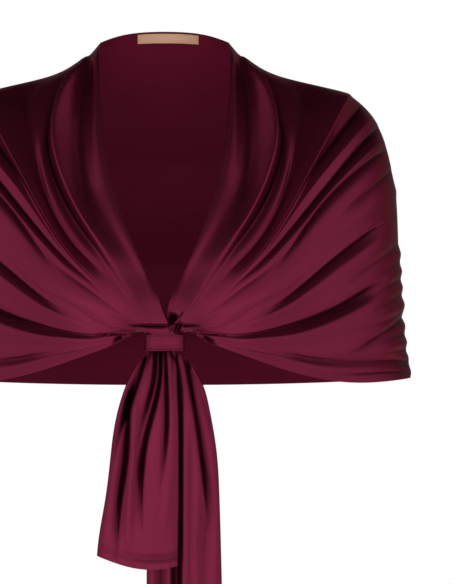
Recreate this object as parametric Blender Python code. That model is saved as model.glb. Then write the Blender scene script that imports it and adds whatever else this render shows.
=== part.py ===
# Evening stole in satin, worn open at the neck like a short cape: one long strip of cloth passes over
# the back and both upper arms, both ends are drawn through a narrow keeper band on the chest, and the
# two ends hang below it as tails. Front faces -Y, +Z is up, +X is the viewer's right.
# The origin is at the base of the neck, on the line of the shoulders.

import math

import bmesh
import bpy
import numpy as np

MM = 0.001

# Driving sizes
WALL = 2.0 * MM  # cloth wall, thick enough for a solid
SEAM_GAP = 0.3 * MM  # clearance between neighbouring pieces
CHEST_DEPTH = 139 * MM  # how far the cloth at the keeper band stands before the shoulder line

# Keeper band: a flat ring of the same cloth
BAND_Y = -128.5 * MM
BAND_Z = -262 * MM
BAND_HALF_WIDTH = 18.7 * MM
BAND_HALF_DEPTH = 15.0 * MM
BAND_HEIGHT = 14.5 * MM
BAND_WALL = 1.5 * MM
BAND_SQUARENESS = 2.6
BAND_TUCK = 0.6 * MM  # how far the band is drawn in along its middle
BAND_STEPS = 44
BAND_LEVELS = 4

# Where the gathered cloth ends inside the band, clears the band's rim and rolls over it
GATHER_END_Z = -261.5 * MM
GATHER_RIM_Z = -254.3 * MM
GATHER_ROLL_Z = -251.5 * MM
ROLL_SPREAD = 1.22

# Stations along a cloth line in front, as a share of the way from the band to the side: its end,
# the rim, the roll over the rim, the puff above the band, the mouth of the gathers, lower, upper, side
STATIONS = (0.0, 0.03, 0.06, 0.115, 0.20, 0.40, 0.70, 1.0)
RING_FADE = (0.05, 0.22)  # between these shares the depth passes from the ring to the figure

# Lines that run along the cloth, from the neck edge (across = 0) to the hem (across = 1).
# side, upper, lower, mouth and puff are places seen from the front, in millimetres, from the side of
# the figure in to the band; fullness rounds the line's depth; ring is where it goes round the band, in
# degrees from the front; back_y and back_z are its place at the middle of the back.
LINE_COLUMNS = (
    "across", "side_x", "side_z", "upper_x", "upper_z", "lower_x", "lower_z", "mouth_x", "mouth_z",
    "puff_x", "puff_z", "fullness", "ring", "back_y", "back_z",
)
LINES = (
    (0.00, 61, 22, 57, -68, 38, -151, 14, -204, 2.8, -232, 1.50, 3, 57, 36),  # neck edge
    (0.07, 72, 9, 79, -75, 56, -155, 24, -205, 12, -236, 1.60, 12, 66, 12),  # valley behind the edge
    (0.13, 78, 6, 105, -77, 74, -159, 39, -204, 18, -237.5, 1.70, 20, 74, -9),  # collar roll
    (0.17, 90, -2, 112, -83, 81, -165, 43, -208, 21, -239, 1.78, 26, 80, -22),  # trough under the roll
    (0.25, 128, -16, 120, -94, 84, -172, 46, -212, 23.5, -240, 1.90, 34, 89, -50),  # shoulder panel
    (0.36, 182, -34, 131, -110, 88, -180, 50, -219, 27, -242, 2.05, 45, 99, -87),  # shoulder crest
    (0.43, 204, -60, 141, -124, 91, -188, 52, -224, 29, -243.5, 2.10, 54, 104, -111),  # first arm fold
    (0.48, 211, -80, 147, -137, 94, -196, 54, -228, 30.5, -244.5, 2.10, 61, 107, -129),  # second
    (0.56, 218, -114, 153, -160, 98, -212, 57, -233, 32, -245.5, 2.05, 70, 110, -156),  # third
    (0.64, 221, -145, 157, -186, 100, -230, 59, -243, 33.5, -248, 2.00, 78, 111, -184),  # long crease
    (0.76, 223, -194, 161, -227, 99, -252, 61, -253, 34.5, -250.5, 1.95, 88, 111, -225),  # low crease
    (0.86, 226, -238, 164, -257, 101, -266, 61, -261, 34.5, -253, 1.90, 96, 108, -259),  # low fold
    (0.95, 230, -278, 166, -283, 103, -276, 61, -266, 34, -256, 1.85, 103, 105, -290),  # hem line
    (1.00, 233, -297, 167, -299, 103, -284.5, 60, -269, 33.5, -258, 1.80, 107, 104, -307),  # hem
)
BACK_SQUARENESS = 2.25
BACK_RISE = 1.5  # how soon a line climbs or falls to its height at the middle of the back

# Folds over the fronts, arms and back. knot and side are the lines that a fold follows, as shares
# across the cloth, at the band and at the side; height is in millimetres, a valley is negative;
# narrow and wide are its half widths across the cloth at the band and at the side. start and end are
# where it runs, in girths: 0 is the middle of the back, 1 the side of the figure, 2 the band.
FOLD_COLUMNS = ("knot", "side", "height", "narrow", "wide", "start", "end")
BODY_FOLDS = (
    (0.02, 0.012, 3.0, 0.030, 0.030, 1.16, 1.90),  # lit face at the neck edge
    (0.09, 0.064, -5.5, 0.028, 0.028, 1.12, 1.85),  # valley behind it
    (0.13, 0.127, 9.0, 0.026, 0.026, 1.14, 1.93),  # collar roll
    (0.17, 0.157, -7.0, 0.028, 0.030, 1.16, 1.88),  # deep trough under the roll
    (0.25, 0.262, -5.5, 0.045, 0.050, 1.20, 1.84),  # broad hollow before the shoulder crest
    (0.37, 0.345, 6.5, 0.022, 0.028, 1.14, 1.90),  # shoulder crest
    (0.41, 0.43, -4.5, 0.020, 0.022, 1.16, 1.88),  # first arm fold
    (0.44, 0.458, 2.5, 0.018, 0.018, 1.16, 1.80),  # ridge between arm folds
    (0.50, 0.48, -4.0, 0.020, 0.022, 1.14, 1.80),  # second arm fold
    (0.56, 0.575, 2.0, 0.028, 0.030, 1.16, 1.80),  # broad arm ridge
    (0.65, 0.635, -4.0, 0.020, 0.022, 1.16, 1.85),  # long crease
    (0.69, 0.668, 2.5, 0.030, 0.026, 1.20, 1.85),  # ridge under the long crease
    (0.79, 0.758, -4.0, 0.024, 0.024, 1.22, 1.92),  # low crease
    (0.83, 0.80, 3.0, 0.030, 0.032, 1.24, 1.85),  # ridge under the low crease
    (0.90, 0.875, -2.5, 0.024, 0.020, 1.10, 1.50),  # last arm crease
    (0.86, 0.950, -2.5, 0.022, 0.022, 1.24, 1.80),  # line above the hem
    (0.96, 0.975, 1.5, 0.024, 0.022, 1.24, 1.80),  # swell at the hem
)
# Small gathers over the outside of each arm, listed down the arm; the columns read as above.
GATHER_COLUMNS = ("across", "height", "half_width", "start", "end")
ARM_GATHERS = (
    (0.575, 1.5, 0.014, 0.94, 1.10),
    (0.725, 2.0, 0.015, 0.84, 1.24),
    (0.765, 2.2, 0.013, 0.86, 1.34),
    (0.800, 2.4, 0.013, 0.82, 1.30),
    (0.837, 2.6, 0.014, 0.80, 1.36),
    (0.880, 2.8, 0.015, 0.84, 1.28),
    (0.915, 2.4, 0.012, 0.82, 1.34),
    (0.950, 2.2, 0.013, 0.86, 1.22),
    (0.987, 1.8, 0.012, 0.84, 1.26),
)
# Slack drapes that hang across the back from shoulder to shoulder; drop is how far the middle of one
# sags below its ends, as a share across the cloth.
DRAPE_COLUMNS = ("across", "drop", "height", "half_width", "reach")
BACK_DRAPES = (
    (0.12, 0.04, -2.0, 0.030, 0.50),
    (0.19, 0.06, 2.6, 0.035, 0.62),
    (0.29, 0.09, -2.8, 0.040, 0.60),
    (0.40, 0.10, 2.6, 0.045, 0.66),
    (0.54, 0.12, -2.4, 0.045, 0.62),
    (0.68, 0.09, 2.0, 0.050, 0.66),
    (0.82, 0.05, -1.6, 0.045, 0.60),
)
FOLD_FADE = 0.16  # girths over which a fold comes up or dies away
# Folds flatten as they are gathered: over each of these ranges, in girths before the band, they
# gain this share of their height.
GATHER_FADES = ((0.35, 0.04, 0.12), (0.65, 0.10, 0.60))

# Places at which the body cloth is sampled across its width and along its length
ACROSS_BANDS = ((0.0, 0.20, 11), (0.20, 0.50, 12), (0.50, 0.70, 6), (0.70, 1.0, 26))
FRONT_GIRTHS = ((0.78, 1.36, 7), (1.36, 1.90, 6), (1.90, 1.96, 2), (1.96, 2.0, 4))
BACK_STEPS = 16
BACK_ACROSS_STEPS = 24

# Tails. Each row is a level down the tail: z, left and right are where its edges lie seen from the
# front, front is the depth of its front face and thick its depth through, all in millimetres;
# square is how far its section is from an oval.
TAIL_COLUMNS = ("z", "left", "right", "front", "thick", "square")
SHORT_TAIL = (
    (-261.8, -14.4, 6.0, -140.6, 11.5, 2.1),
    (-270, -15.2, 6.8, -141.0, 12, 2.1),
    (-276, -20.2, 9.6, -142.4, 12.8, 2.3),
    (-294, -32.3, 12.0, -146, 15, 2.7),
    (-314, -40.0, 12.6, -148, 16, 3.2),
    (-343, -46.5, 13.2, -149, 17, 3.2),
    (-371, -49.8, 13.3, -149, 17, 3.2),
    (-404, -54.0, 13.3, -149, 17, 3.2),
    (-445, -60.6, 12.6, -149, 17, 3.2),
    (-455, -61.5, 12.6, -149, 17, 3.2),
)
LONG_TAIL = (
    (-261.8, -11.0, 14.4, -127.4, 8.8, 2.1),
    (-270, -11.4, 15.2, -127.4, 9.2, 2.1),
    (-276, -12.0, 19.4, -127.6, 10.6, 2.3),
    (-294, -14.0, 32.0, -128, 15, 2.7),
    (-323, -15.0, 41.2, -129, 17, 3.2),
    (-359, -15.5, 47.3, -130, 18, 3.2),
    (-406, -16.0, 50.3, -130, 18, 3.2),
    (-480, -16.5, 52.3, -130, 18, 3.2),
    (-590, -17.0, 54.0, -130, 18, 3.2),
)
TAIL_SLIT = 14  # degrees on each side of the tail's back where its two folded edges stay apart
TAIL_FACE = (0.2, 0.9)  # shares of the half depth between which a side turns into the front or back
TAIL_STEPS = 38
TAIL_LEVELS = 10
SHORT_TAIL_HEM_DIP = 12.5 * MM  # how much lower the short tail's hem hangs at its lowest place
HEM_DIP_START = 0.6  # share of the way down where the dip begins
HEM_DIP_TURN = 0.75 * math.pi  # puts the lowest place right of the middle
HEM_DIP_FACE = (-0.9, -0.1)  # shares of the half depth between which the dip comes in, from the back

# Folds down the tails: top and bottom are places across the front face, 0 its left edge and 1 its
# right, at the band and at the hem; height in millimetres; start and end are shares of the way down.
PLEAT_COLUMNS = ("top", "bottom", "height", "half_width", "start", "end")
SHORT_PLEATS = (
    (0.24, -0.10, -3.5, 0.06, 0.00, 0.50),
    (0.21, 0.22, -5.0, 0.07, 0.30, 0.92),
    (0.37, 0.34, 3.0, 0.08, 0.05, 1.10),
    (0.66, 0.42, -5.0, 0.06, 0.05, 0.85),
    (0.71, 0.60, 2.5, 0.06, 0.05, 0.80),
    (0.80, 0.74, -4.0, 0.05, 0.05, 0.72),
    (0.90, 0.90, 2.5, 0.08, 0.05, 1.10),
)
LONG_PLEATS = (
    (0.18, 0.17, -4.0, 0.08, 0.10, 1.10),
    (0.29, 0.28, 3.0, 0.05, 0.10, 1.10),
    (0.39, 0.38, -4.0, 0.06, 0.10, 1.10),
    (0.71, 0.71, 2.5, 0.08, 0.08, 1.10),
    (0.80, 0.85, -5.0, 0.06, 0.05, 0.62),
)
PLEAT_RISE = 0.2  # shares of the way down over which a pleat comes up, and dies away
PLEAT_FALL = 0.3
BACK_PLEAT_HEIGHT = 2.2 * MM
BACK_PLEAT_COUNT = 3
BACK_PLEAT_RISE = (0.05, 0.30)

# Neck label, blank, inside the back of the neck
LABEL_WIDTH = 60 * MM
LABEL_CENTRE_X = 3.5 * MM
LABEL_FROM_EDGE = 1.5 * MM
LABEL_HEIGHT = 9.5 * MM
LABEL_WALL = 0.8 * MM
LABEL_STEPS = 14
LABEL_ROWS = 3

SATIN = (0.150, 0.012, 0.045, 1.0)
SATIN_ROUGHNESS = 0.34
LABEL_CLOTH = (0.62, 0.47, 0.36, 1.0)
LABEL_ROUGHNESS = 0.6


def column(table, names, name):
    """One named column of a table."""
    return np.array([row[names.index(name)] for row in table], float)


def spline_weights(knots, places):
    """How much the value at each knot counts at each place, for one smooth curve through them all."""
    knots = np.asarray(knots, float)
    places = np.asarray(places, float)
    count = len(knots)
    width = np.diff(knots)
    system = np.eye(count)
    load = np.zeros((count, count))
    for i in range(1, count - 1):
        system[i, i - 1:i + 2] = (width[i - 1], 2 * (width[i - 1] + width[i]), width[i])
        load[i, i - 1:i + 2] = (6 / width[i - 1], -6 / width[i - 1] - 6 / width[i], 6 / width[i])
    bend = np.linalg.solve(system, load)
    cell = np.clip(np.searchsorted(knots, places) - 1, 0, count - 2)
    span = width[cell]
    before = ((knots[cell + 1] - places) / span)[..., None]
    after = 1 - before
    unit = np.eye(count)
    straight = before * unit[cell] + after * unit[cell + 1]
    curved = (before**3 - before) * bend[cell] + (after**3 - after) * bend[cell + 1]
    return straight + curved * (span**2 / 6)[..., None]


def ease(value, start, end):
    """0 up to start, 1 from end on, smooth between."""
    share = np.clip((value - start) / (end - start), 0, 1)
    return share * share * (3 - 2 * share)


def signed_power(value, power):
    return np.sign(value) * np.abs(value)**power


def bump(distance, half_width):
    return np.exp(-(distance / half_width)**2)


def across_the_lines(across):
    """Every column of the cloth lines, read at these shares across the cloth."""
    weights = spline_weights(column(LINES, LINE_COLUMNS, "across"), across)
    return {name: weights @ column(LINES, LINE_COLUMNS, name) for name in LINE_COLUMNS[1:]}


def ring_point(angle, inset):
    """A place round the inside of the keeper band, by its angle in degrees from the front."""
    power = 2 / BAND_SQUARENESS
    turn = np.radians(angle)
    x = (BAND_HALF_WIDTH - inset) * signed_power(np.sin(turn), power)
    y = BAND_Y - (BAND_HALF_DEPTH - inset) * signed_power(np.cos(turn), power)
    return x, y


def front_points(share, line):
    """The cloth of the right front, before its folds. share is 0 at the band and 1 at the side."""
    inset = BAND_WALL + SEAM_GAP
    ring_x, ring_y = ring_point(line["ring"], inset)
    xs = (ring_x, ring_x, ring_x * ROLL_SPREAD, line["puff_x"] * MM, line["mouth_x"] * MM,
          line["lower_x"] * MM, line["upper_x"] * MM, line["side_x"] * MM)
    zs = (GATHER_END_Z, GATHER_RIM_Z, GATHER_ROLL_Z, line["puff_z"] * MM, line["mouth_z"] * MM,
          line["lower_z"] * MM, line["upper_z"] * MM, line["side_z"] * MM)
    weights = spline_weights(STATIONS, share)
    x = sum(weights[..., i] * xs[i] for i in range(len(STATIONS)))
    z = sum(weights[..., i] * zs[i] for i in range(len(STATIONS)))
    full = line["fullness"]
    depth = CHEST_DEPTH * (1 - np.clip(share, 0, 1)**full)**(1 / full)
    on_figure = ease(share, *RING_FADE)
    y = -depth * on_figure + ring_y * (1 - on_figure)
    return np.stack((x, y, z), -1)


def back_points(turn, line):
    """The cloth of the right half of the back, before its folds. turn is 0 at the middle, 1 at the side."""
    power = 2 / BACK_SQUARENESS
    angle = turn * math.pi / 2
    x = line["side_x"] * MM * signed_power(np.sin(angle), power)
    y = line["back_y"] * MM * signed_power(np.cos(angle), power)
    z = (line["side_z"] + (line["back_z"] - line["side_z"]) * np.abs(np.cos(angle))**BACK_RISE) * MM
    return np.stack((x, y, z), -1)


def plain_body(girth, across):
    """The body cloth without folds, at girths from 0, mid back, past 1, the side, to 2, the band."""
    girth, across = np.broadcast_arrays(girth, across)
    line = across_the_lines(across)
    in_front = np.maximum(girth, 1)
    share = np.sin((2 - in_front) * math.pi / 2)
    front = front_points(share, line)
    back = back_points(np.minimum(girth, 1), line)
    return np.where((girth > 1)[..., None], front, back)


def outward(surface, first, second):
    """Unit normals of a surface given as a function of two parameters, pointing off the figure."""
    step = 0.004
    along = surface(first + step, second) - surface(first - step, second)
    over = surface(first, second + step) - surface(first, second - step)
    normal = np.cross(along, over)
    return normal / np.linalg.norm(normal, axis=-1, keepdims=True)


def body_relief(girth, across):
    """Height of the folds over the plain body cloth."""
    girth, across = np.broadcast_arrays(girth, across)
    to_band = np.clip(girth - 1, 0, 1)
    height = np.zeros(girth.shape)
    for row in BODY_FOLDS:
        fold = dict(zip(FOLD_COLUMNS, row))
        centre = fold["side"] + (fold["knot"] - fold["side"]) * to_band
        half_width = fold["wide"] + (fold["narrow"] - fold["wide"]) * to_band
        shown = ease(girth, fold["start"] - FOLD_FADE, fold["start"] + FOLD_FADE)
        shown = shown * (1 - ease(girth, fold["end"] - FOLD_FADE, fold["end"] + FOLD_FADE / 2))
        height = height + fold["height"] * MM * bump(across - centre, half_width) * shown
    for row in ARM_GATHERS:
        gather = dict(zip(GATHER_COLUMNS, row))
        shown = ease(girth, gather["start"] - FOLD_FADE / 2, gather["start"] + FOLD_FADE / 2)
        shown = shown * (1 - ease(girth, gather["end"] - FOLD_FADE, gather["end"] + FOLD_FADE))
        rise = gather["height"] * MM * bump(across - gather["across"], gather["half_width"])
        height = height + rise * shown
    for row in BACK_DRAPES:
        drape = dict(zip(DRAPE_COLUMNS, row))
        sag = drape["drop"] * (1 - np.clip(np.abs(girth), 0, 1)**2)
        shown = 1 - ease(np.abs(girth), drape["reach"] - FOLD_FADE, drape["reach"] + FOLD_FADE)
        rise = drape["height"] * MM * bump(across - drape["across"] - sag, drape["half_width"])
        height = height + rise * shown
    gathered = sum(share * ease(2 - girth, start, end) for share, start, end in GATHER_FADES)
    return height * gathered


def body_surface(girth, across):
    """The outer face of the body cloth, folds and all."""
    plain = plain_body(girth, across)
    return plain + outward(plain_body, girth, across) * body_relief(girth, across)[..., None]


def seam_offset(across):
    """How far in girth each of two neighbouring stretches stops short of their shared seam."""
    step = 0.004
    seam = np.full_like(across, FRONT_GIRTHS[0][0])
    reach = body_surface(seam + step, across) - body_surface(seam - step, across)
    half_gap = SEAM_GAP * 0.6  # a little over half, because the seam runs aslant to the cloth lines
    return half_gap * 2 * step / np.linalg.norm(reach, axis=-1)


def banded(bands):
    """Shares of a way, closer together where the folds are close."""
    pieces = [np.linspace(start, end, count, endpoint=False) for start, end, count in bands]
    return np.append(np.concatenate(pieces), bands[-1][1])


def material(name, colour, roughness):
    made = bpy.data.materials.new(name)
    made.use_nodes = True
    shader = made.node_tree.nodes["Principled BSDF"]
    shader.inputs["Base Color"].default_value = colour
    shader.inputs["Roughness"].default_value = roughness
    shader.inputs["Metallic"].default_value = 0.0
    made.diffuse_color = colour
    return made


def wall(name, outer, inner, finish, ring=False):
    """A closed wall between two grids of points; ring joins the last column to the first."""
    rows, columns = outer.shape[:2]
    mesh = bmesh.new()
    grids = [[[mesh.verts.new(point) for point in line] for line in grid] for grid in (outer, inner)]

    def triangles(a, b, c, d):
        mesh.faces.new((a, b, c))
        mesh.faces.new((a, c, d))

    last_column = columns if ring else columns - 1
    for i in range(rows - 1):
        for j in range(last_column):
            k = (j + 1) % columns
            for grid in grids:
                triangles(grid[i][j], grid[i + 1][j], grid[i + 1][k], grid[i][k])
    for j in range(last_column):
        k = (j + 1) % columns
        for i in (0, rows - 1):
            triangles(grids[0][i][j], grids[0][i][k], grids[1][i][k], grids[1][i][j])
    if not ring:
        for i in range(rows - 1):
            for j in (0, columns - 1):
                triangles(grids[0][i][j], grids[0][i + 1][j], grids[1][i + 1][j], grids[1][i][j])
    bmesh.ops.recalc_face_normals(mesh, faces=mesh.faces)
    data = bpy.data.meshes.new(name)
    mesh.to_mesh(data)
    mesh.free()
    data.materials.append(finish)
    data.shade_smooth()
    made = bpy.data.objects.new(name, data)
    bpy.context.scene.collection.objects.link(made)
    return made


def body_piece(name, girth, across, side, finish):
    """A stretch of the body cloth as a wall; side is 1 for the viewer's right and -1 for the left."""
    outer = body_surface(girth, across)
    inner = outer - outward(body_surface, girth, across) * WALL
    mirror = np.array((side, 1, 1))
    wall(name, outer * mirror, inner * mirror, finish)


def fronts(finish):
    across = banded(ACROSS_BANDS)
    girth = banded(FRONT_GIRTHS)[:, None] + np.zeros_like(across)
    girth[0] += seam_offset(across)
    for name, side in (("front_right", 1), ("front_left", -1)):
        body_piece(name, girth, np.broadcast_to(across, girth.shape), side, finish)


def back(finish):
    across = np.linspace(0, 1, BACK_ACROSS_STEPS + 1)
    turn = np.linspace(-1, 1, BACK_STEPS + 1)[:, None]
    reach = np.abs(turn) * (FRONT_GIRTHS[0][0] - seam_offset(across))
    across = np.broadcast_to(across, reach.shape)
    outer = body_surface(reach, across)
    inner = outer - outward(body_surface, reach, across) * WALL
    mirror = np.concatenate((np.sign(turn + 1e-9), np.ones_like(turn), np.ones_like(turn)), 1)[:, None]
    middle = BACK_STEPS // 2
    inner[middle, :, 0] = 0
    wall("back", outer * mirror, inner * mirror, finish)


def tail_surface(rows, pleats, dip):
    """The outer face of a tail, as a function of the share down it and the turn round it."""

    def surface(down, turn):
        down, turn = np.broadcast_arrays(down, turn)
        heights = column(rows, TAIL_COLUMNS, "z")
        way = (heights - heights[0]) / (heights[-1] - heights[0])
        weights = spline_weights(way, down)
        level = {name: weights @ column(rows, TAIL_COLUMNS, name) * MM for name in TAIL_COLUMNS}
        angle = np.radians(180 + (180 - TAIL_SLIT) * turn)
        power = 2 * MM / level["square"]
        sideways = -signed_power(np.sin(angle), power)
        depth = signed_power(np.cos(angle), power)
        half_width = (level["right"] - level["left"]) / 2
        half_depth = level["thick"] / 2
        place = (sideways + 1) / 2
        on_front = ease(-depth, *TAIL_FACE)
        relief = np.zeros(down.shape)
        for row in pleats:
            pleat = dict(zip(PLEAT_COLUMNS, row))
            centre = pleat["top"] + (pleat["bottom"] - pleat["top"]) * ease(down, 0, 1)
            shown = ease(down, pleat["start"], pleat["start"] + PLEAT_RISE)
            shown = shown * (1 - ease(down, pleat["end"] - PLEAT_FALL, pleat["end"]))
            relief = relief + pleat["height"] * MM * bump(place - centre, pleat["half_width"]) * shown
        behind = np.cos(place * 2 * math.pi * BACK_PLEAT_COUNT) * BACK_PLEAT_HEIGHT
        behind = behind * ease(down, *BACK_PLEAT_RISE)
        x = (level["left"] + level["right"]) / 2 + half_width * sideways
        y = level["front"] + half_depth + half_depth * depth - relief * on_front
        y = y + behind * ease(depth, *TAIL_FACE)
        sink = dip * np.sin(place * HEM_DIP_TURN) * ease(down, HEM_DIP_START, 1)
        z = level["z"] - sink * ease(-depth, *HEM_DIP_FACE)
        return np.stack((x, y, z), -1)

    return surface


def tail(name, rows, pleats, dip, finish):
    surface = tail_surface(rows, pleats, dip)
    heights = column(rows, TAIL_COLUMNS, "z")
    under_band = (heights[1] - heights[0]) / (heights[-1] - heights[0])
    below = np.linspace(0, 1, TAIL_LEVELS)**1.3
    down = np.append(0, under_band + (1 - under_band) * below)[:, None]
    turn = np.linspace(-1, 1, TAIL_STEPS + 1)[None]
    down, turn = np.broadcast_arrays(down, turn)
    outer = surface(down, turn)
    normal = outward(surface, down, turn)
    inner = outer - normal * WALL
    wall(name, outer, inner, finish)


def keeper_band(finish):
    around = np.linspace(0, 360, BAND_STEPS, endpoint=False)
    levels = np.linspace(-1, 1, BAND_LEVELS + 1)[:, None]
    tuck = BAND_TUCK * (1 - levels**2)

    def ring(inset):
        x, y = ring_point(around, inset)
        return np.stack((x, y, np.broadcast_to(BAND_Z + levels * BAND_HEIGHT / 2, x.shape)), -1)

    wall("keeper_band", ring(tuck), ring(np.full_like(tuck, BAND_WALL)), finish, ring=True)


def neck_label(finish):
    """A woven label that lies on the inner face of the back, just under the neck edge."""
    step = 0.01
    fall = body_surface(np.zeros(1), np.array([step])) - body_surface(np.zeros(1), np.zeros(1))
    cloth_width = np.linalg.norm(fall) / step
    down = LABEL_FROM_EDGE + np.linspace(0, 1, LABEL_ROWS + 1) * LABEL_HEIGHT
    x = LABEL_CENTRE_X + np.linspace(-0.5, 0.5, LABEL_STEPS + 1) * LABEL_WIDTH
    x, across = np.meshgrid(x, down / cloth_width, indexing="ij")
    half_width = across_the_lines(across)["side_x"] * MM
    turn = np.arcsin((np.abs(x) / half_width)**(BACK_SQUARENESS / 2)) * 2 / math.pi
    face = body_surface(turn, across)
    normal = outward(body_surface, turn, across)
    mirror = np.stack((np.sign(x + 1e-9), np.ones_like(x), np.ones_like(x)), -1)
    near = face - normal * (WALL + SEAM_GAP)
    far = face - normal * (WALL + SEAM_GAP + LABEL_WALL)
    wall("neck_label", near * mirror, far * mirror, finish)


def main():
    for existing in list(bpy.data.objects):
        bpy.data.objects.remove(existing)
    back(material("back_satin", SATIN, SATIN_ROUGHNESS))
    fronts(material("front_satin", SATIN, SATIN_ROUGHNESS))
    over_tail = material("over_tail_satin", SATIN, SATIN_ROUGHNESS)
    tail("tail_short", SHORT_TAIL, SHORT_PLEATS, SHORT_TAIL_HEM_DIP, over_tail)
    tail("tail_long", LONG_TAIL, LONG_PLEATS, 0.0, material("under_tail_satin", SATIN, SATIN_ROUGHNESS))
    keeper_band(material("band_satin", SATIN, SATIN_ROUGHNESS))
    neck_label(material("label_cloth", LABEL_CLOTH, LABEL_ROUGHNESS))


main()
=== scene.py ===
import math

import bpy
import numpy as np
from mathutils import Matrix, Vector


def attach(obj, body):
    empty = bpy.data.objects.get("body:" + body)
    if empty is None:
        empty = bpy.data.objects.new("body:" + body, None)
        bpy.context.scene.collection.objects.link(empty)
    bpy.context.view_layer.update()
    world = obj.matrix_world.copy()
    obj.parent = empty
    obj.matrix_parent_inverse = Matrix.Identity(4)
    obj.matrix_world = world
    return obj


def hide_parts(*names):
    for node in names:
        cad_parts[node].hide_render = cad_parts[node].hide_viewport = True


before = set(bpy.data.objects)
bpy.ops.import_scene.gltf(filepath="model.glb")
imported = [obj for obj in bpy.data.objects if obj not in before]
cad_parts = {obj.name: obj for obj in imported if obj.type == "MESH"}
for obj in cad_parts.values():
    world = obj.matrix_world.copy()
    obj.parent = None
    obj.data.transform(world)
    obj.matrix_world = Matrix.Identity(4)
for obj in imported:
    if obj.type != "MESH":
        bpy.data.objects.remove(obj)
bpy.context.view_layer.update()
mm = 0.001
print("frame loaded")

# The figure that the cloth hangs on. Lines run along the cloth from the neck edge, across 0, to the hem,
# across 1; places are seen from the front in millimetres, from the side of the figure in to the band.
figure = {
    "columns": ("across", "sideX", "sideZ", "upperX", "upperZ", "lowerX", "lowerZ", "mouthX", "mouthZ",
                "knotX", "knotZ", "fullness", "ring", "backY", "backZ"),
    "lines": (
        (0.00, 61, 22, 57, -68, 38, -151, 14, -204, 2.8, -232, 1.50, 3, 57, 36),  # neck edge
        (0.07, 72, 9, 79, -75, 56, -155, 24, -205, 12, -236, 1.60, 12, 66, 12),  # valley behind the edge
        (0.13, 78, 6, 105, -77, 74, -159, 39, -204, 18, -237.5, 1.70, 20, 74, -9),  # collar roll
        (0.17, 90, -2, 112, -83, 81, -165, 43, -208, 21, -239, 1.78, 26, 80, -22),  # trough under the roll
        (0.25, 128, -16, 120, -94, 84, -172, 46, -212, 23.5, -240, 1.90, 34, 89, -50),  # shoulder panel
        (0.36, 182, -34, 131, -110, 88, -180, 50, -219, 27, -242, 2.05, 45, 99, -87),  # shoulder crest
        (0.43, 204, -60, 141, -124, 91, -188, 52, -224, 29, -243.5, 2.10, 54, 104, -111),  # first arm fold
        (0.48, 211, -80, 147, -137, 94, -196, 54, -228, 30.5, -244.5, 2.10, 61, 107, -129),  # second
        (0.56, 218, -114, 153, -160, 98, -212, 57, -233, 32, -245.5, 2.05, 70, 110, -156),  # third
        (0.64, 221, -145, 157, -186, 100, -230, 59, -243, 33.5, -248, 2.00, 78, 111, -184),  # long crease
        (0.76, 223, -194, 161, -227, 99, -252, 61, -253, 34.5, -250.5, 1.95, 88, 111, -225),  # low crease
        (0.86, 226, -238, 164, -257, 101, -266, 61, -261, 34.5, -253, 1.90, 96, 108, -259),  # low fold
        (0.95, 230, -278, 166, -283, 103, -276, 61, -266, 34, -256, 1.85, 103, 105, -290),  # hem line
        (1.00, 233, -297, 167, -299, 103, -284.5, 60, -269, 33.5, -258, 1.80, 107, 104, -307),  # hem
    ),
    "stations": (0.0, 0.03, 0.06, 0.115, 0.20, 0.40, 0.70, 1.0),  # end to side
    "chestDepth": 139 * mm,
    "ringFade": (0.05, 0.22),
    "endZ": -261.5 * mm,
    "rimZ": -254.3 * mm,
    "rollZ": -251.5 * mm,
    "rollSpread": 1.22,
    "backSquareness": 2.25,
    "backRise": 1.5,
    "seamGirth": 0.78,
}

band = {
    "y": -128.5 * mm,
    "z": -262 * mm,
    "halfWidth": 18.7 * mm,
    "halfDepth": 15.0 * mm,
    "height": 14.5 * mm,
    "wall": 1.5 * mm,
    "thickness": 1.2 * mm,
    "squareness": 2.6,
    "faceSquareness": 5.0,
    "halfCells": 80,
    "levels": 41,
    "tuck": 0.5 * mm,  # how far the middle of its height is drawn in
    "wrinkle": 0.05 * mm,
    "wave": 0.5 * mm,
    "noiseStep": 40,  # degrees
    # painted shade over the whole band
    "shade": 0.20,
    "edgeShadeLine": (0.80, 0.07, 0.35),  # height, width and darkness of the painted shade line along the turned edges
    "clearance": 0.3 * mm,
}


def column(rows, names, name):
    return np.array([row[names.index(name)] for row in rows], float)


# Share that each knot's value has at each place, on one smooth curve through them all.
def splineWeights(knots, places):
    knots = np.asarray(knots, float)
    places = np.asarray(places, float)
    count = len(knots)
    width = np.diff(knots)
    system = np.eye(count)
    load = np.zeros((count, count))
    for i in range(1, count - 1):
        system[i, i - 1:i + 2] = (width[i - 1], 2 * (width[i - 1] + width[i]), width[i])
        load[i, i - 1:i + 2] = (6 / width[i - 1], -6 / width[i - 1] - 6 / width[i], 6 / width[i])
    bend = np.linalg.solve(system, load)
    cell = np.clip(np.searchsorted(knots, places) - 1, 0, count - 2)
    span = width[cell]
    before = ((knots[cell + 1] - places) / span)[..., None]
    after = 1 - before
    unit = np.eye(count)
    straight = before * unit[cell] + after * unit[cell + 1]
    curved = (before**3 - before) * bend[cell] + (after**3 - after) * bend[cell + 1]
    return straight + curved * (span**2 / 6)[..., None]


# Smooth rise from 0 at start to 1 at end, which may also lie below start.
def ease(value, start, end):
    share = np.clip((value - start) / (end - start), 0, 1)
    return share * share * (3 - 2 * share)


def signedPower(value, power):
    return np.sign(value) * np.abs(value)**power


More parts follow.
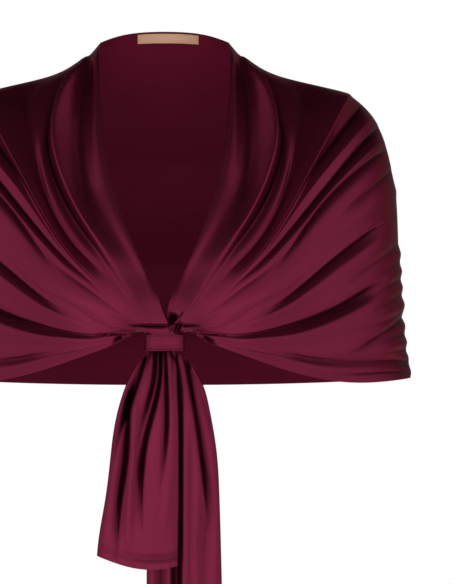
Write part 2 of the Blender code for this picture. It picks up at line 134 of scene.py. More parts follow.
# Smooth noise between -1 and 1 over a plane, the same on every run.
def latticeNoise(x, y, seed):
    x, y = np.broadcast_arrays(x, y)
    left = np.floor(x).astype(int)
    low = np.floor(y).astype(int)

    def corner(i, j):
        mixed = np.sin(i * 127.1 + j * 311.7 + seed * 74.7) * 43758.5453
        return (mixed - np.floor(mixed)) * 2 - 1

    u = x - left
    v = y - low
    u = u * u * (3 - 2 * u)
    v = v * v * (3 - 2 * v)
    lower = corner(left, low) * (1 - u) + corner(left + 1, low) * u
    upper = corner(left, low + 1) * (1 - u) + corner(left + 1, low + 1) * u
    return lower * (1 - v) + upper * v


def lineValues(across):
    names = figure["columns"]
    weights = splineWeights(column(figure["lines"], names, "across"), across)
    return {name: weights @ column(figure["lines"], names, name) for name in names[1:]}


def ringPoint(angle, inset, squareness=band["squareness"]):
    power = 2 / squareness
    turn = np.radians(angle)
    x = (band["halfWidth"] - inset) * signedPower(np.sin(turn), power)
    y = band["y"] - (band["halfDepth"] - inset) * signedPower(np.cos(turn), power)
    return x, y


def frontPoints(share, line):
    ringX, ringY = ringPoint(line["ring"], band["wall"] + band["clearance"])
    stops = ("knot", "mouth", "lower", "upper", "side")
    xs = [ringX, ringX, ringX * figure["rollSpread"]] + [line[stop + "X"] * mm for stop in stops]
    zs = [figure["endZ"], figure["rimZ"], figure["rollZ"]] + [line[stop + "Z"] * mm for stop in stops]
    weights = splineWeights(figure["stations"], share)
    x = sum(weights[..., i] * xs[i] for i in range(len(xs)))
    z = sum(weights[..., i] * zs[i] for i in range(len(zs)))
    full = line["fullness"]
    depth = figure["chestDepth"] * (1 - np.clip(share, 0, 1)**full)**(1 / full)
    onFigure = ease(share, *figure["ringFade"])
    return np.stack((x, -depth * onFigure + ringY * (1 - onFigure), z), -1)


def backPoints(turn, line):
    power = 2 / figure["backSquareness"]
    angle = turn * math.pi / 2
    x = line["sideX"] * mm * signedPower(np.sin(angle), power)
    y = line["backY"] * mm * signedPower(np.cos(angle), power)
    rise = np.abs(np.cos(angle))**figure["backRise"]
    z = (line["sideZ"] + (line["backZ"] - line["sideZ"]) * rise) * mm
    return np.stack((x, y, z), -1)


# The body cloth without folds: girth 0 is mid back, 1 the side of the figure and 2 the band.
def plainBody(girth, across):
    girth, across = np.broadcast_arrays(girth, across)
    line = lineValues(across)
    share = np.sin((2 - np.maximum(girth, 1)) * math.pi / 2)
    front = frontPoints(share, line)
    back = backPoints(np.minimum(girth, 1), line)
    return np.where((girth > 1)[..., None], front, back)


def unit(vectors):
    return vectors / np.linalg.norm(vectors, axis=-1, keepdims=True)


def outward(surface, first, second):
    step = 0.003
    along = surface(first + step, second) - surface(first - step, second)
    over = surface(first, second + step) - surface(first, second - step)
    return unit(np.cross(along, over))


def addObject(name, data):
    made = bpy.data.objects.new(name, data)
    bpy.context.scene.collection.objects.link(made)
    return made


# Folds of the body cloth. at110 to at190 are the lines that a fold follows, as shares across the cloth
# at girths 1.10 to 1.90; height is in millimetres, a valley is negative; before and after are half
# widths on the neck side and the hem side; point is 2 for a soft fold and near 1 for a crisp one; dark
# is how much painted shade darkens the cloth's colour in the crease.
folds = {
    "columns": ("at110", "at135", "at155", "at170", "at182", "at190", "height", "before", "after",
                "point", "start", "end", "dark"),
    "girths": (1.10, 1.35, 1.55, 1.70, 1.82, 1.90),
    "rows": (
        # lit strip at the neck edge and the valley behind it
        (0.012, 0.012, 0.012, 0.012, 0.015, 0.020, 3.5, 0.030, 0.030, 2.0, 1.14, 1.92, 0.0),
        (0.064, 0.064, 0.067, 0.078, 0.090, 0.100, -7.0, 0.026, 0.026, 1.8, 1.20, 1.72, 0.4),
        (0.030, 0.030, 0.030, 0.030, 0.030, 0.030, 3.0, 0.060, 0.080, 2.0, 1.70, 1.96, 0.0),
        # collar roll, rounded above and steep below, with a crisp trough
        (0.118, 0.136, 0.123, 0.116, 0.122, 0.136, 9.0, 0.034, 0.013, 1.6, 1.22, 1.93, 0.0),
        (0.134, 0.152, 0.139, 0.131, 0.143, 0.172, -6.5, 0.006, 0.036, 1.3, 1.20, 1.84, 1.0),
        (0.127, 0.146, 0.133, 0.125, 0.133, 0.150, 1.5, 0.010, 0.0035, 1.5, 1.45, 1.88, 0.0),
        # soft streak in the shoulder panel and the broad hollow before the second crest
        (0.222, 0.245, 0.250, 0.250, 0.250, 0.250, 2.2, 0.030, 0.020, 1.8, 1.18, 1.42, 0.0),
        (0.272, 0.258, 0.238, 0.215, 0.238, 0.270, -6.5, 0.050, 0.060, 2.0, 1.12, 1.84, 0.35),
        # second crest with its crease
        (0.342, 0.346, 0.356, 0.356, 0.354, 0.380, 7.0, 0.046, 0.010, 1.4, 1.08, 1.85, 0.0),
        (0.350, 0.354, 0.363, 0.363, 0.361, 0.386, 1.3, 0.012, 0.0035, 1.5, 1.35, 1.80, 0.0),
        (0.372, 0.371, 0.369, 0.369, 0.370, 0.390, -4.0, 0.005, 0.020, 1.2, 1.10, 1.54, 1.0),
        (0.402, 0.402, 0.402, 0.395, 0.385, 0.380, 2.2, 0.020, 0.012, 1.6, 1.12, 1.75, 0.0),
        # creases over the upper arm
        (0.430, 0.434, 0.443, 0.428, 0.404, 0.400, -4.5, 0.005, 0.022, 1.2, 1.08, 1.84, 1.0),
        (0.458, 0.456, 0.462, 0.455, 0.440, 0.430, 2.0, 0.014, 0.014, 1.8, 1.10, 1.74, 0.0),
        (0.482, 0.476, 0.480, 0.504, 0.510, 0.510, -4.0, 0.006, 0.022, 1.2, 1.10, 1.70, 0.9),
        (0.490, 0.490, 0.490, 0.492, 0.466, 0.458, -3.5, 0.006, 0.030, 1.2, 1.72, 1.90, 0.9),
        (0.530, 0.538, 0.545, 0.545, 0.545, 0.545, -2.4, 0.006, 0.020, 1.3, 1.06, 1.44, 0.6),
        (0.575, 0.575, 0.570, 0.560, 0.550, 0.560, 1.6, 0.030, 0.024, 2.0, 1.12, 1.84, 0.0),
        (0.600, 0.600, 0.600, 0.596, 0.592, 0.670, 2.0, 0.020, 0.006, 1.4, 1.62, 1.93, 0.0),
        # long crease and the ridge under it
        (0.634, 0.637, 0.641, 0.638, 0.640, 0.660, -4.0, 0.005, 0.022, 1.2, 1.28, 1.76, 1.0),
        (0.668, 0.670, 0.672, 0.668, 0.668, 0.700, 2.2, 0.016, 0.030, 1.8, 1.20, 1.84, 0.0),
        (0.705, 0.712, 0.720, 0.720, 0.720, 0.720, -1.5, 0.008, 0.020, 1.4, 1.08, 1.46, 0.3),
        # low crease and the wide ridge under it
        (0.758, 0.763, 0.769, 0.756, 0.758, 0.800, -5.0, 0.008, 0.030, 1.3, 1.32, 1.90, 1.0),
        (0.800, 0.803, 0.805, 0.800, 0.795, 0.850, 3.0, 0.020, 0.040, 2.0, 1.28, 1.90, 0.0),
        # creases of the lower arm and of the hem band
        (0.864, 0.889, 0.925, 0.930, 0.930, 0.930, -3.0, 0.006, 0.018, 1.2, 0.98, 1.47, 0.7),
        (0.958, 0.945, 0.938, 0.914, 0.860, 0.830, -3.0, 0.009, 0.024, 1.4, 1.06, 1.74, 0.6),
        (0.984, 0.976, 0.978, 0.978, 0.978, 0.978, -1.5, 0.004, 0.008, 1.3, 1.04, 1.52, 0.8),
        (0.972, 0.968, 0.965, 0.955, 0.930, 0.930, 1.5, 0.016, 0.020, 2.0, 0.90, 1.90, 0.0),
    ),
    "fade": 0.10,
    "rounding": 0.0008,
    "creaseShades": ((0.22, 0.60), (0.65, 0.45)),  # share of the fold's width, and darkness of the painted shade in the crease
    "shadePoint": 1.3,
    "gatherFades": ((0.35, 0.03, 0.10), (0.65, 0.07, 0.45)),
}

# Small gathers over the outside of each arm, scalloped, each with a line of painted shade at its foot.
gathers = {
    "columns": ("across", "height", "halfWidth", "start", "end"),
    "rows": (
        (0.575, 1.5, 0.014, 0.94, 1.10),
        (0.725, 2.0, 0.015, 0.84, 1.24),
        (0.765, 2.2, 0.013, 0.86, 1.34),
        (0.800, 2.4, 0.013, 0.82, 1.30),
        (0.837, 2.6, 0.014, 0.80, 1.36),
        (0.880, 2.8, 0.015, 0.84, 1.28),
        (0.915, 2.4, 0.012, 0.82, 1.34),
        (0.950, 2.2, 0.013, 0.86, 1.22),
        (0.987, 1.8, 0.012, 0.84, 1.26),
    ),
    "footShade": (1.3, 0.3, 0.55),  # place and width of the painted shade line at the foot, in half widths, and its darkness
}

# Shallow drapes that hang across the back from shoulder to shoulder.
drapes = {
    "columns": ("across", "drop", "height", "halfWidth", "reach"),
    "rows": (
        (0.12, 0.04, -2.0, 0.030, 0.50),
        (0.19, 0.06, 2.6, 0.035, 0.62),
        (0.29, 0.09, -2.8, 0.040, 0.60),
        (0.40, 0.10, 2.6, 0.045, 0.66),
        (0.54, 0.12, -2.4, 0.045, 0.62),
        (0.68, 0.09, 2.0, 0.050, 0.66),
        (0.82, 0.05, -1.6, 0.045, 0.60),
    ),
    "fade": 0.16,
}

# Uneven waves all over the body cloth, calmer over the fronts.
wrinkles = {
    "columns": ("height", "acrossCount", "girthCount", "shift", "seed"),
    "rows": ((0.5, 20, 3.0, 7, 1), (0.05, 70, 5.0, 3, 2)),
    "calm": 0.85,
    "calmFrom": (1.2, 1.8),
}


# One fold seen across: off is the way from its line, in the unit of its half widths.
def foldProfile(off, before, after, point, rounding):
    width = np.where(off < 0, before, after)
    away = np.sqrt(off**2 + rounding**2) - rounding
    return np.exp(-(away / width)**point)


# Height of one fold of a table in millimetres, and the painted shade in its crease.
def foldShape(table, fold, off):
    before, after, rounding = fold["before"], fold["after"], table["rounding"]
    height = fold["height"] * foldProfile(off, before, after, fold["point"], rounding)
    dark = 0
    for share, weight in table["creaseShades"]:
        paintedShade = foldProfile(off, before * share, after * share, table["shadePoint"], rounding)
        dark = dark + fold["dark"] * weight * paintedShade
    return height, dark


# Height of all folds over the plain figure, and the painted shade in the creases and at the feet of the
# gathers.
def bodyRelief(girth, across):
    girth, across = np.broadcast_arrays(girth, across)
    weights = splineWeights(folds["girths"], np.clip(girth, folds["girths"][0], folds["girths"][-1]))
    fade = folds["fade"]
    height = np.zeros(girth.shape)
    dark = np.zeros(girth.shape)
    for row in folds["rows"]:
        fold = dict(zip(folds["columns"], row))
        shown = ease(girth, fold["start"] - fade, fold["start"] + fade)
        shown = shown * (1 - ease(girth, fold["end"] - fade, fold["end"] + fade / 2))
        rise, shade = foldShape(folds, fold, across - weights @ np.array(row[:len(folds["girths"])]))
        height = height + rise * mm * shown
        dark = dark + shade * shown
    place, width, shade = gathers["footShade"]
    for row in gathers["rows"]:
        gather = dict(zip(gathers["columns"], row))
        shown = ease(girth, gather["start"] - fade, gather["start"] + fade)
        shown = shown * (1 - ease(girth, gather["end"] - fade * 2, gather["end"] + fade))
        off = (across - gather["across"]) / gather["halfWidth"]
        height = height + gather["height"] * mm * np.exp(-off**2) * shown
        dark = dark + shade * np.exp(-((off - place) / width)**2) * shown
    for row in drapes["rows"]:
        drape = dict(zip(drapes["columns"], row))
        sag = drape["drop"] * (1 - np.clip(np.abs(girth), 0, 1)**2)
        shown = 1 - ease(np.abs(girth), drape["reach"] - drapes["fade"], drape["reach"] + drapes["fade"])
        rise = drape["height"] * mm * np.exp(-((across - drape["across"] - sag) / drape["halfWidth"])**2)
        height = height + rise * shown
    calm = 1 - wrinkles["calm"] * ease(girth, *wrinkles["calmFrom"])
    for row in wrinkles["rows"]:
        wave = dict(zip(wrinkles["columns"], row))
        noise = latticeNoise(
            across * wave["acrossCount"], girth * wave["girthCount"] + wave["shift"], wave["seed"])
        height = height + calm * wave["height"] * mm * noise
    gathered = sum(share * ease(2 - girth, start, end) for share, start, end in folds["gatherFades"])
    return height * gathered, np.clip(dark * gathered, 0, 1)


def bodySurface(girth, across):
    plain = plainBody(girth, across)
    return plain + outward(plainBody, girth, across) * bodyRelief(girth, across)[0][..., None]


# The fronts puff out over the band, with a flat fold and a line of painted shade under each puff; the left
# front laps over the right one, which turns in behind it into a hollow of painted shade. strokes are short
# folds drawn as seen from the front, with painted shade in them.
knot = {
    "frontY": (-120 * mm, -132 * mm),  # depth over which the knot's own folds set in
    "puff": 3.6 * mm,
    "puffFrom": (-190 * mm, -240 * mm),
    "puffUnder": (-244.2 * mm, -246.2 * mm),
    "puffEnd": (12 * mm, 42 * mm),  # from the middle, where a puff dies away
    "ledgeEnd": (28 * mm, 36 * mm),
    "ledgeShadeLine": (-246.7 * mm, 1.0 * mm),  # place and width of the painted shade line under the puffs
    "lens": 4.5 * mm,
    "lensZ": (-245.8 * mm, -257.0 * mm),
    "lensX": {"left": (-34 * mm, 4 * mm), "right": (14 * mm, 31 * mm)},
    "lensPower": 0.6,
    "lap": 6.0 * mm,
    "lapForward": 1.2 * mm,
    "lapZ": (-228 * mm, -250 * mm),
    "lapAcross": 0.35,
    "hollow": 5.5 * mm,
    "hollowCorners": ((1.0, -229.0), (15.0, -235.5), (4.5, -255.0)),
    "hollowSoft": (-1.7 * mm, 5.1 * mm),
    "hollowZ": (-232 * mm, -244 * mm),
    "hollowX": (14 * mm, 18 * mm),
    "strokePoint": 1.6,
    "strokeTaper": 0.5,
    "strokeLight": 0.9,  # how much of the painted shade a ridge takes away
    "strokeColumns": ("x0", "z0", "x1", "z1", "halfWidth", "height", "dark"),
    "strokes": (
        (-38.0, -255.6, -46.0, -260.6, 1.5, -2.5, 1.0),
        (-34.0, -257.0, -52.0, -264.5, 1.6, 1.8, 0.0),
        (-64.0, -253.8, -31.0, -254.9, 0.8, -1.2, 0.8),
        (30.0, -254.4, 58.0, -254.9, 0.8, -1.2, 0.8),
        (34.0, -255.4, 45.0, -262.2, 1.5, -2.5, 1.0),
        (33.0, -258.0, 50.0, -266.0, 1.6, 1.8, 0.0),
        (17.0, -235.0, 5.2, -248.0, 0.8, 3.0, 0.0),
        (14.4, -241.0, 9.8, -253.4, 0.8, 2.4, 0.0),
        (17.4, -243.0, 12.8, -253.4, 0.8, 2.0, 0.0),
        (12.4, -243.0, 8.2, -252.6, 0.7, -2.0, 1.0),
        (16.0, -243.0, 11.2, -253.0, 0.6, -1.6, 1.0),
    ),
}


# How far a point lies inside the three cornered hollow beside the left front's edge.
def hollowShare(x, z):
    corners = knot["hollowCorners"]
    inside = np.full(x.shape, 1.0)
    for (x0, z0), (x1, z1) in zip(corners, corners[1:] + corners[:1]):
        length = math.hypot(x1 - x0, z1 - z0)
        way = ((x / mm - x0) * (z1 - z0) - (z / mm - z0) * (x1 - x0)) / length * mm
        inside = inside * ease(way, *knot["hollowSoft"])
    return inside


# A short fold between two places seen from the front, tapered at both ends.
def strokeShare(x, z, stroke):
    reach = (stroke["x1"] - stroke["x0"], stroke["z1"] - stroke["z0"])
    length = math.hypot(*reach)
    fromX = x / mm - stroke["x0"]
    fromZ = z / mm - stroke["z0"]
    along = (fromX * reach[0] + fromZ * reach[1]) / length**2
    off = (fromX * reach[1] - fromZ * reach[0]) / length
    taper = np.sin(np.clip(along, 0, 1) * math.pi)**knot["strokeTaper"]
    return np.exp(-np.abs(off / stroke["halfWidth"])**knot["strokePoint"]) * taper


def lensShare(value, start, end):
    along = np.clip((value - start) / (end - start), 0, 1)
    return np.sin(along * math.pi)**knot["lensPower"]


# The body cloth's points once the knot has shaped them, and the painted shade of its creases, its hollow
# and its lines.
def knotForm(points, across, side):
    points = points.copy()
    x, y, z = points[..., 0], points[..., 1], points[..., 2]
    if side == "left":
        lap = ease(z, *knot["lapZ"]) * (1 - ease(across, 0, knot["lapAcross"]))
        x += knot["lap"] * lap
        y -= knot["lapForward"] * lap
    below = ease(z, *knot["puffFrom"])
    under = 1 - ease(z, *knot["puffUnder"])
    aside = 1 - ease(np.abs(x), *knot["puffEnd"])
    lens = lensShare(x, *knot["lensX"][side]) * lensShare(z, *knot["lensZ"])
    place, width = knot["ledgeShadeLine"]
    dark = (1 - ease(np.abs(x), *knot["ledgeEnd"])) * np.exp(-((z - place) / width)**2)
    inFront = ease(y, *knot["frontY"])
    rise = 0
    if side == "right":
        hollow = hollowShare(x, z) * inFront
        # painted shade fills the hollow beside the left front's edge
        dark = np.maximum(dark * ease(x, *knot["hollowX"]), hollow)
        deep = hollow * ease(z, *knot["hollowZ"])
        aside = aside * (1 - deep)
        rise = -knot["hollow"] * deep
    for row in knot["strokes"]:
        stroke = dict(zip(knot["strokeColumns"], row))
        if (stroke["x0"] > 0) == (side == "right"):
            share = strokeShare(x, z, stroke) * inFront
            light = knot["strokeLight"] if stroke["height"] > 0 else 0
            rise = rise + stroke["height"] * mm * share
            dark = np.clip(dark + (stroke["dark"] - light) * share, 0, 1)
    y -= rise + knot["puff"] * below * under * aside + knot["lens"] * lens * inFront
    return points, dark


cloth = {
    "thickness": 0.6 * mm,
    "hemThickness": 1.3 * mm,
    "hemWidth": 0.010,  # share across the cloth that the rolled edge takes
    "width": 0.41,
    "acrossBands": ((0.0, 0.11, 30), (0.11, 0.18, 32), (0.18, 0.33, 34), (0.33, 0.51, 90), (0.51, 0.62, 32),
                    (0.62, 0.66, 20), (0.66, 0.74, 18), (0.74, 0.80, 26), (0.80, 1.0, 58)),
    "girthBands": ((0.78, 1.9, 92), (1.9, 2.0, 50)),
    "backCells": 60,
}


def gridNormals(points):
    return unit(np.cross(np.gradient(points, axis=0), np.gradient(points, axis=1)))


# Lengths along the rows of a grid and places over them, in metres of cloth.
def clothPlaces(points, over):
    steps = np.linalg.norm(np.diff(points, axis=0), axis=-1).mean(1)
    length = np.concatenate(((0,), np.cumsum(steps)))
    return np.stack(np.broadcast_arrays(length[:, None], over), -1)


# A thin closed shell: the outer grid, an inner grid set in by the thickness, and a rim. The first
# material shows on the outer layer and the last one on the inner layer.
def sheetMesh(name, materials, outer, normals, thickness, uv, shade, ring=False):
    rows, columns = outer.shape[:2]
    inner = outer - normals * thickness[..., None]
    points = np.concatenate((outer.reshape(-1, 3), inner.reshape(-1, 3)))
    index = np.arange(rows * columns).reshape(rows, columns)
    nextColumn = np.roll(index, -1, axis=1)
    if not ring:
        nextColumn = nextColumn[:, :-1]
    here = index if ring else index[:, :-1]
    a, b = here[:-1], here[1:]
    d, c = nextColumn[:-1], nextColumn[1:]
    outside = np.stack((a, b, c, d), -1).reshape(-1, 4)
    layer = rows * columns
    inside = outside[:, ::-1] + layer
    top = np.stack((here[0], nextColumn[0], nextColumn[0] + layer, here[0] + layer), -1)
    bottom = np.stack((here[-1] + layer, nextColumn[-1] + layer, nextColumn[-1], here[-1]), -1)
    rims = [top, bottom]
    if not ring:
        first, last = index[:, 0], index[:, -1]
        rims.append(np.stack((first[1:], first[:-1], first[:-1] + layer, first[1:] + layer), -1))
        rims.append(np.stack((last[:-1], last[1:], last[1:] + layer, last[:-1] + layer), -1))
    rim = np.concatenate(rims)
    faces = np.concatenate((outside, inside, rim))
    mesh = bpy.data.meshes.new(name)
    mesh.vertices.add(len(points))
    mesh.vertices.foreach_set("co", points.astype(np.float32).ravel())
    mesh.loops.add(faces.size)
    mesh.loops.foreach_set("vertex_index", faces.astype(np.int32).ravel())
    mesh.polygons.add(len(faces))
    mesh.polygons.foreach_set("loop_start", np.arange(0, faces.size, 4, dtype=np.int32))
    mesh.polygons.foreach_set("use_smooth", np.ones(len(faces), bool))
    layerUv = mesh.uv_layers.new(name="cloth")
    both = np.concatenate((uv.reshape(-1, 2), uv.reshape(-1, 2)))
    layerUv.data.foreach_set("uv", both[faces.ravel()].astype(np.float32).ravel())
    # painted shade kept on the points: how far the base colour is darkened toward near-black
    paintedShade = mesh.attributes.new("paintedShade", "FLOAT", "POINT")
    paintedShade.data.foreach_set("value", np.concatenate((shade.ravel(), shade.ravel())).astype(np.float32))
    mesh.update(calc_edges=True)
    mesh.validate()
    corner = np.concatenate((normals.reshape(-1, 3), -normals.reshape(-1, 3)))[faces.ravel()]
    flat = np.zeros(len(faces) * 3, np.float32)
    mesh.polygons.foreach_get("normal", flat)
    flat = np.repeat(flat.reshape(-1, 3), 4, axis=0)
    rimStart = (len(outside) + len(inside)) * 4
    corner[rimStart:] = flat[rimStart:]
    mesh.normals_split_custom_set(corner.astype(np.float32))
    for material in materials:
        mesh.materials.append(material)
    shown = np.zeros(len(faces), np.int32)
    shown[len(outside):len(outside) + len(inside)] = len(materials) - 1
    mesh.polygons.foreach_set("material_index", shown)
    return addObject(name, mesh)


def clothThickness(across):
    edge = np.minimum(across, 1 - across)
    rolled = 1 - ease(edge, 0, cloth["hemWidth"])
    return cloth["thickness"] + (cloth["hemThickness"] - cloth["thickness"]) * rolled


# Places across the cloth, closer together where the creases are crisp.
def acrossPlaces():
    places = [np.linspace(low, high, count, endpoint=False) for low, high, count in cloth["acrossBands"]]
    return np.concatenate(places + [np.ones(1)])


# The back and the two fronts, cut from one surface so that they meet without a seam showing.
def bodyPieces(materials):
    across = acrossPlaces()[None]
    cut = cloth["backCells"]
    bands = [np.linspace(0, figure["seamGirth"], cut, endpoint=False)]
    bands += [np.linspace(low, high, count, endpoint=False) for low, high, count in cloth["girthBands"]]
    girth = np.concatenate(bands + [[2.0]])[:, None]
    half = bodySurface(girth, across)
    dark = bodyRelief(girth, across)[1]
    uv = clothPlaces(half, across * cloth["width"])
    thickness = np.broadcast_to(clothThickness(across), half.shape[:2])
    made = {}
    for side, turn in (("right", 1), ("left", -1)):
        points, knotDark = knotForm(half * (turn, 1, 1), across, side)
        shade = np.maximum(dark, knotDark)[cut:]
        normals = gridNormals(points) * turn
        sheet = (points[cut:], normals[cut:], thickness[cut:], uv[cut:] * (turn, 1), shade)
        if turn < 0:
            sheet = tuple(part[::-1] for part in sheet)
        name = "front" + side.title()
        made[name] = sheetMesh(name, materials, *sheet)
    normals = gridNormals(half)
    normals[0] = unit(np.cross(half[1] - half[1] * (-1, 1, 1), np.gradient(half[0], axis=0)))
    order = np.concatenate((np.arange(cut, 0, -1), np.arange(0, cut + 1)))
    side = np.concatenate((-np.ones(cut), np.ones(cut + 1)))[:, None, None]
    turned = np.concatenate((side, np.ones_like(side), np.ones_like(side)), -1)
    back = half[order] * turned
    back[cut, :, 0] = 0
    made["back"] = sheetMesh("backCloth", materials, back, normals[order] * turned, thickness[order],
                             uv[order] * turned[..., :2], dark[order])
    return made


# Tails. Level rows give z, the left and right edges seen from the front, the depth of the front face,
# the depth through and how square the section is, all in millimetres but the last.
tails = {
    "columns": ("z", "left", "right", "front", "thick", "square"),
    "short": (
        (-261.8, -14.4, 6.0, -140.6, 11.5, 2.1),
        (-270, -15.2, 6.8, -141.0, 12, 2.1),
        (-276, -20.2, 9.6, -142.4, 12.8, 2.3),
        (-294, -32.3, 12.0, -146, 15, 2.7),
        (-314, -40.0, 12.6, -148, 16, 3.2),
        (-343, -46.5, 13.2, -149, 17, 4.2),
        (-371, -49.8, 13.3, -149, 17, 4.2),
        (-404, -54.0, 13.3, -149, 17, 4.2),
        (-445, -60.6, 12.6, -149, 17, 4.2),
        (-455, -61.5, 12.6, -149, 17, 4.2),
    ),
    "long": (
        (-261.8, -11.0, 14.4, -127.4, 8.8, 2.1),
        (-270, -11.4, 15.2, -127.4, 9.2, 2.1),
        (-276, -12.0, 19.4, -127.6, 10.6, 2.3),
        (-294, -14.0, 32.0, -128, 15, 2.7),
        (-323, -15.0, 41.2, -129, 17, 3.2),
        (-359, -15.5, 47.3, -130, 18, 3.2),
        (-406, -16.0, 50.3, -130, 18, 3.2),
        (-480, -16.5, 52.3, -130, 18, 3.2),
        (-590, -17.0, 54.0, -130, 18, 3.2),
    ),
    "slit": 14,  # degrees left open at the back, on each side of the middle
    "face": (-0.15, -0.75),
    "hemDip": 12.5 * mm,
    "hemDipStart": 0.6,
    "hemDipTurn": 0.75 * math.pi,
    "hemDipFace": (0.9, 0.1),
    "backPleats": 3,
    "backPleatHeight": 2.2 * mm,
    "backPleatRise": (0.05, 0.30),
    "backPleatFace": (0.2, 0.9),
    "aroundCells": 240,
    "spacedOn": (31, 8.5, 3.8),  # half width, half depth and squareness of the oval that spaces them
    "downCells": 150,
    "downPower": 1.15,
    "rolledFrom": 0.985,
    "wrinkle": (0.4, 14, 60, 5),  # height, step aside, step down and seed
    "wrinkleRise": (0.02, 0.2),
    "pucker": (0.3, 3.2, 9, 6),
    "puckerFade": (9.0, 4.0),  # above the hem
    "hemLines": ((7.0, -0.8, 0.55), (10.8, -0.5, 0.35)),  # above the hem, height, and darkness of the painted shade along the line
    "hemLineWidth": 1.3,
    "hemLineFaint": 0.35,  # share of a hem line that is left at the left edge
    "hemLineRise": (0.2, 0.8),
    "wallDepth": (-0.75, -0.2),  # where painted shade darkens the short tail's right side
    "wallSide": (0.5, 0.8),
}

# Pleats of the tails. x270 to x445 say where a pleat lies, in millimetres from the middle, at the heights
# of the stations; before and after are its half widths at the left and the right; a valley has a negative
# height; dark is how much painted shade darkens its crease.
pleats = {
    "columns": ("x270", "x294", "x314", "x343", "x371", "x404", "x445", "height", "before", "after",
                "point", "start", "end", "dark"),
    "stations": (-270, -294, -314, -343, -371, -404, -445),
    "short": (
        # outer valley, crisp on its right
        (-16.0, -23.0, -30.0, -40.5, -47.0, -51.0, -55.0, -4.5, 6.0, 1.6, 1.3, -240, -380, 1.0),
        # long valley of the lower left, crisp on its right
        (-19.0, -27.0, -31.6, -33.4, -35.4, -40.4, -44.0, -5.5, 5.5, 1.6, 1.3, -292, -462, 1.0),
        # middle valley: crisp under the band, soft lower down
        (-8.0, -9.4, -14.0, -21.5, -26.0, -27.0, -27.0, -4.0, 3.2, 1.8, 1.5, -240, -372, 0.8),
        (-3.4, -4.2, -7.6, -15.4, -20.0, -21.8, -20.0, -5.2, 4.2, 1.5, 1.4, -240, -436, 1.0),
        # valley of the right half, crisp at the top and again at its foot
        (0.4, 1.6, 2.2, 1.8, -1.2, -7.6, -12.0, -4.4, 3.4, 1.5, 1.3, -240, -404, 0.8),
        (6.6, 7.4, 7.8, 7.6, 7.0, 6.4, 6.0, -1.6, 1.2, 1.6, 1.5, -240, -322, 0.7),
        # soft lower ridge and fall beside the right edge
        (4.0, 6.0, 8.0, 8.0, 4.0, 0.0, -8.0, 1.6, 7.0, 7.0, 2.0, -380, -470, 0.0),
        (-22.0, -24.0, -27.0, -28.5, -29.0, -32.0, -33.0, 1.8, 4.0, 4.0, 2.0, -290, -470, 0.0),
    ),
    "long": (
        # deep valley of the right half, crisp on its left
        (18.5, 23.0, 26.4, 31.0, 34.6, 38.6, 41.0, -5.5, 1.8, 5.0, 1.3, -250, -440, 1.0),
        # soft fall along the outer edge
        (16.0, 29.0, 35.0, 43.0, 47.0, 49.0, 50.0, -1.6, 2.0, 5.0, 1.6, -300, -380, 0.3),
        # shade beside the short tail's edge
        (10.0, 12.0, 12.8, 13.4, 13.5, 13.5, 13.0, -1.0, 2.0, 0.7, 1.6, -262, -660, 1.0),
        (12.0, 14.4, 16.0, 17.0, 17.0, 17.0, 16.8, 5.0, 2.0, 9.0, 2.0, -280, -660, 0.0),
        # lit ridge and the broad soft hollow lower down
        (16.0, 20.0, 24.0, 29.0, 31.5, 31.0, 30.0, 1.6, 5.0, 5.0, 2.0, -290, -620, 0.0),
        (30.0, 32.0, 34.0, 36.0, 38.0, 40.0, 38.0, -2.0, 6.0, 8.0, 2.0, -390, -500, 0.2),
        # behind the short tail
        (-4.0, -4.0, -4.0, -4.0, -4.0, -4.0, -4.0, -5.0, 6.0, 5.0, 1.8, -280, -640, 0.6),
        (10.0, 9.0, 9.0, 9.0, 9.0, 9.0, 9.0, -4.5, 3.5, 5.0, 1.5, -280, -640, 0.8),
    ),
    "fade": 34,
    "rounding": 0.2,
    "creaseShades": ((0.45, 0.8), (0.9, 0.4)),
    "shadePoint": 1.3,
}


def tailNoise(x, z, values):
    height, aside, down, seed = values
    return height * latticeNoise(x / aside, z / down, seed)


